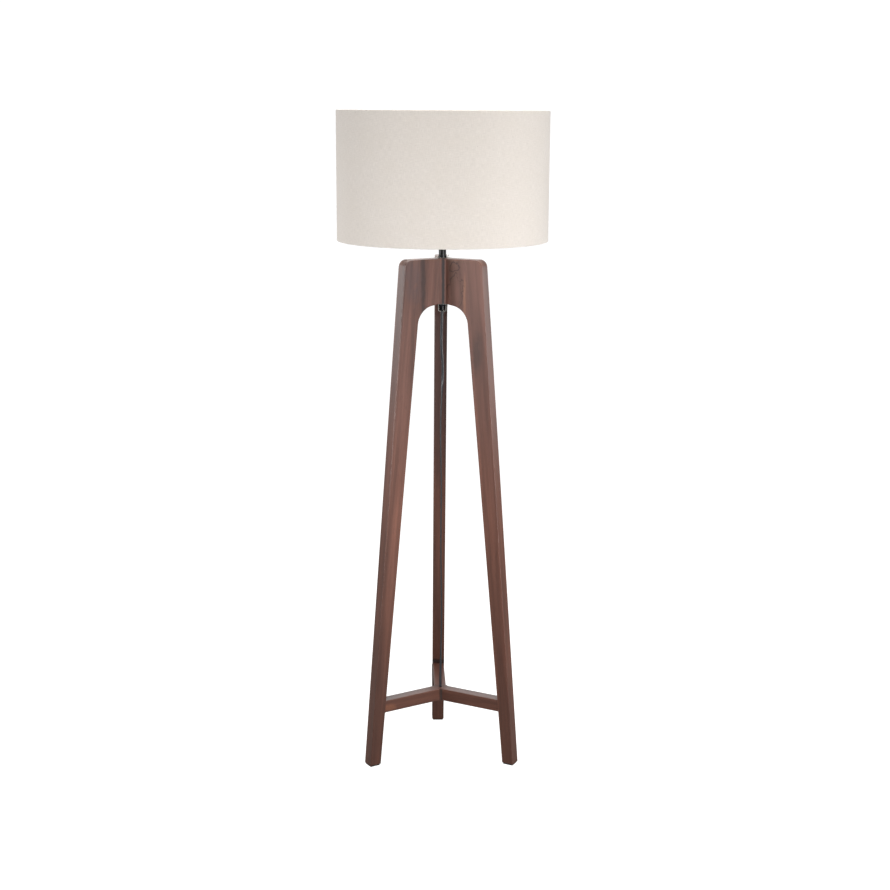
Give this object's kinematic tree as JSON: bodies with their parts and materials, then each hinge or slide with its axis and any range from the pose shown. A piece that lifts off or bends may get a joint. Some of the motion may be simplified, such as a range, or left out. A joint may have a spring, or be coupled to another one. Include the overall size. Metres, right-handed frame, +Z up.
{
  "type": "tripod floor lamp",
  "caption": "Floor lamp on a wooden tripod with a low Y stretcher, a drum shade, and a flat cord hanging from the head through the stretcher hub.",
  "frame": {"origin": "on the floor, below the axis of the post, shade and pipe", "axes": "+Z up, -Y the front, +Y towards the back leg"},
  "size_m": [0.4812, 0.7536, 1.524],
  "materials": {
    "walnut": "walnut stain under satin lacquer",
    "linen": "slubby off-white linen",
    "hem_cloth": "woven hem tape",
    "liner": "white styrene liner",
    "black_gloss": "moulded, glossy",
    "black_phenolic": "moulded phenolic, satin",
    "nickel": "nickel plated",
    "zinc_steel": "zinc plated",
    "brass": "plain",
    "bulb_glass": "opal white",
    "bulb_cap": "rolled",
    "white_wire": "white powder coat",
    "beech": "fluted dowel",
    "rubber": "matt",
    "cord_pvc": "semi-gloss flexible PVC",
    "tie": "hook and loop band",
    "tin": "solder"
  },
  "bodies": {
    "frame": {"leg_front_left": "walnut", "leg_front_right": "walnut", "leg_back": "walnut", "head_post": "walnut", "stretcher_front_left": "walnut", "stretcher_front_right": "walnut", "stretcher_back": "walnut", "stretcher_hub": "walnut", "head_dowels": "beech", "hub_dowels": "beech", "leg_dowels": "beech", "foot_pads": "rubber", "pad_tacks": "zinc_steel", "lamp_pipe": "zinc_steel", "post_washer": "zinc_steel", "pipe_nut_lower": "black_phenolic", "pipe_nut_upper": "zinc_steel", "grip_yoke": "nickel", "cord_grip": "black_gloss", "grip_screw": "nickel", "stem_saddle": "nickel", "stem_flange": "black_gloss", "stem_tube": "black_gloss", "supply_leads": "cord_pvc", "lampholder_cap": "black_phenolic", "lampholder_body": "black_phenolic", "screw_shell": "brass", "centre_contact": "brass", "switch_bush": "brass", "shade_clamp_lower": "black_phenolic", "shade_clamp_upper": "black_phenolic", "channel_clips": "black_phenolic", "clip_screws": "zinc_steel", "cord": "cord_pvc", "cord_hank": "cord_pvc", "hank_tie": "tie", "cord_tail": "cord_pvc", "plug_sleeve": "black_gloss", "plug_body": "black_gloss", "plug_pins": "nickel"},
    "shade": {"shade_carrier": "white_wire", "shade_fabric": "linen", "shade_liner": "liner", "shade_wire_top": "white_wire", "shade_wire_bottom": "white_wire", "shade_hem_top": "hem_cloth", "shade_hem_bottom": "hem_cloth"},
    "bulb_foot": {"bulb_tip": "tin"},
    "bulb": {"bulb_insulator": "black_phenolic", "bulb_cap": "bulb_cap", "bulb_glass": "bulb_glass"},
    "switch": {"switch_shaft": "brass", "switch_knob": "black_phenolic"}
  },
  "joints": [
    {"name": "shade_turn", "type": "hinge", "parent": "frame", "child": "shade", "pos_m": [0, 0, 1.2662], "axis": [0, 0, 1], "continuous": true},
    {"name": "bulb_rise", "type": "slide", "parent": "frame", "child": "bulb_foot", "axis": [0, 0, 1], "range_m": [0, 0.0108]},
    {"name": "bulb_turn", "type": "hinge", "parent": "bulb_foot", "child": "bulb", "pos_m": [0, 0, 1.27], "axis": [0, 0, 1], "range_deg": [0, 1080]},
    {"name": "switch_turn", "type": "hinge", "parent": "frame", "child": "switch", "pos_m": [0.03, 0, 1.243], "axis": [1, 0, 0], "continuous": true}
  ],
  "couplings": [
    {"joint": "bulb_turn", "follows": "bulb_rise", "rad_per_m": 1731.4}
  ]
}
